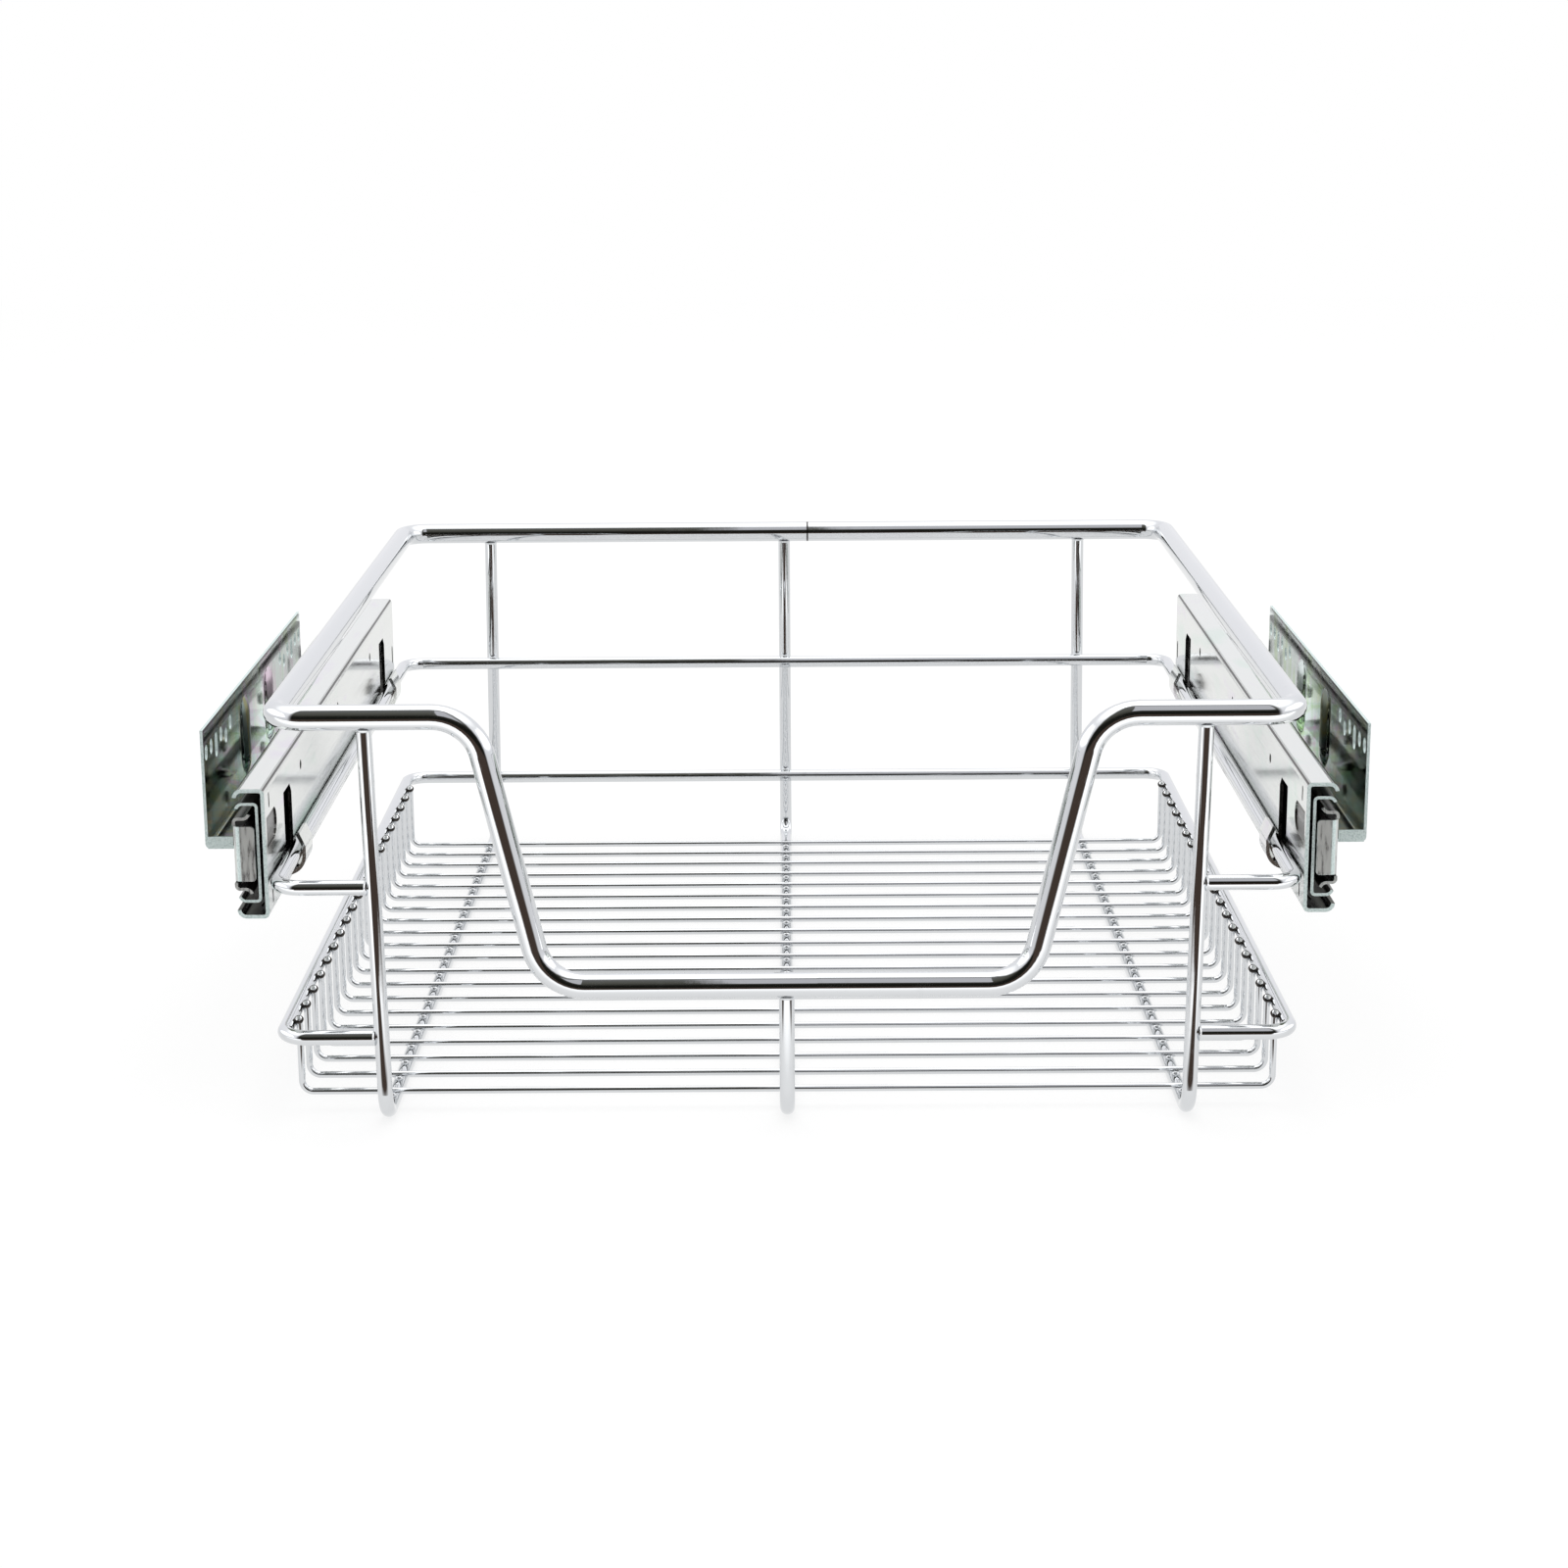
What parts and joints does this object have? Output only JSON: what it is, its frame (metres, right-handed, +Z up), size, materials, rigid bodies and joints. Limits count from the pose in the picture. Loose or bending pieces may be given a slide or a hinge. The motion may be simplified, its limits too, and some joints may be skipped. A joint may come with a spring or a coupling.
{
  "type": "pull-out cabinet basket",
  "caption": "Wire basket with a dipped front handle, sliding on ball-bearing runners whose brackets screw to the sides of a kitchen cabinet.",
  "frame": {"origin": "on the surface that the basket stands on, under the middle of its bounding box", "axes": "+X to the right across the cabinet, +Y to the back of the cabinet, +Z up; the basket pulls out along -Y"},
  "size_m": [0.464, 0.44, 0.1695],
  "materials": {
    "chrome_wire": "bright chrome plate on steel wire",
    "bright_zinc": "bright zinc plate with a faint rainbow passivation",
    "runner_steel": "zinc-plated rolled steel",
    "bracket_zinc": "dark grey-green zinc plate, nearly mirror bright",
    "bearing_steel": "polished",
    "rubber": "matt"
  },
  "bodies": {
    "cabinet_side": {"left_cabinet_member": "runner_steel", "left_bracket": "bracket_zinc", "left_rivets": "runner_steel", "left_end_buffer": "rubber", "right_cabinet_member": "runner_steel", "right_bracket": "bracket_zinc", "right_rivets": "runner_steel", "right_end_buffer": "rubber"},
    "basket": {"top_rim": "chrome_wire", "middle_wire": "chrome_wire", "tray_rim": "chrome_wire", "left_long_wire": "chrome_wire", "centre_long_wire": "chrome_wire", "right_long_wire": "chrome_wire", "floor_wire_01": "chrome_wire", "floor_wire_02": "chrome_wire", "floor_wire_03": "chrome_wire", "floor_wire_04": "chrome_wire", "floor_wire_05": "chrome_wire", "floor_wire_06": "chrome_wire", "floor_wire_07": "chrome_wire", "floor_wire_08": "chrome_wire", "floor_wire_09": "chrome_wire", "floor_wire_10": "chrome_wire", "floor_wire_11": "chrome_wire", "floor_wire_12": "chrome_wire", "floor_wire_13": "chrome_wire", "floor_wire_14": "chrome_wire", "floor_wire_15": "chrome_wire", "floor_wire_16": "chrome_wire", "floor_wire_17": "chrome_wire", "floor_wire_18": "chrome_wire", "floor_wire_19": "chrome_wire", "floor_wire_20": "chrome_wire", "left_drawer_member": "bright_zinc", "right_drawer_member": "bright_zinc"},
    "left_middle": {"left_middle_member": "runner_steel"},
    "left_outer_cage": {"left_outer_ball_cage": "bright_zinc", "left_outer_balls": "bearing_steel"},
    "left_inner_cage": {"left_inner_ball_cage": "bright_zinc", "left_inner_balls": "bearing_steel"},
    "right_middle": {"right_middle_member": "runner_steel"},
    "right_outer_cage": {"right_outer_ball_cage": "bright_zinc", "right_outer_balls": "bearing_steel"},
    "right_inner_cage": {"right_inner_ball_cage": "bright_zinc", "right_inner_balls": "bearing_steel"}
  },
  "joints": [
    {"name": "basket_slide", "type": "slide", "parent": "cabinet_side", "child": "basket", "axis": [0, -1, 0], "range_m": [0, 0.39]},
    {"name": "left_middle_slide", "type": "slide", "parent": "cabinet_side", "child": "left_middle", "axis": [0, -1, 0], "range_m": [0, 0.195]},
    {"name": "left_outer_cage_slide", "type": "slide", "parent": "cabinet_side", "child": "left_outer_cage", "axis": [0, -1, 0], "range_m": [0, 0.2925]},
    {"name": "left_inner_cage_slide", "type": "slide", "parent": "cabinet_side", "child": "left_inner_cage", "axis": [0, -1, 0], "range_m": [0, 0.0975]},
    {"name": "right_middle_slide", "type": "slide", "parent": "cabinet_side", "child": "right_middle", "axis": [0, -1, 0], "range_m": [0, 0.195]},
    {"name": "right_outer_cage_slide", "type": "slide", "parent": "cabinet_side", "child": "right_outer_cage", "axis": [0, -1, 0], "range_m": [0, 0.2925]},
    {"name": "right_inner_cage_slide", "type": "slide", "parent": "cabinet_side", "child": "right_inner_cage", "axis": [0, -1, 0], "range_m": [0, 0.0975]}
  ],
  "couplings": [
    {"joint": "left_middle_slide", "follows": "basket_slide", "ratio": 0.5},
    {"joint": "left_outer_cage_slide", "follows": "basket_slide", "ratio": 0.75},
    {"joint": "left_inner_cage_slide", "follows": "basket_slide", "ratio": 0.25},
    {"joint": "right_middle_slide", "follows": "basket_slide", "ratio": 0.5},
    {"joint": "right_outer_cage_slide", "follows": "basket_slide", "ratio": 0.75},
    {"joint": "right_inner_cage_slide", "follows": "basket_slide", "ratio": 0.25}
  ]
}
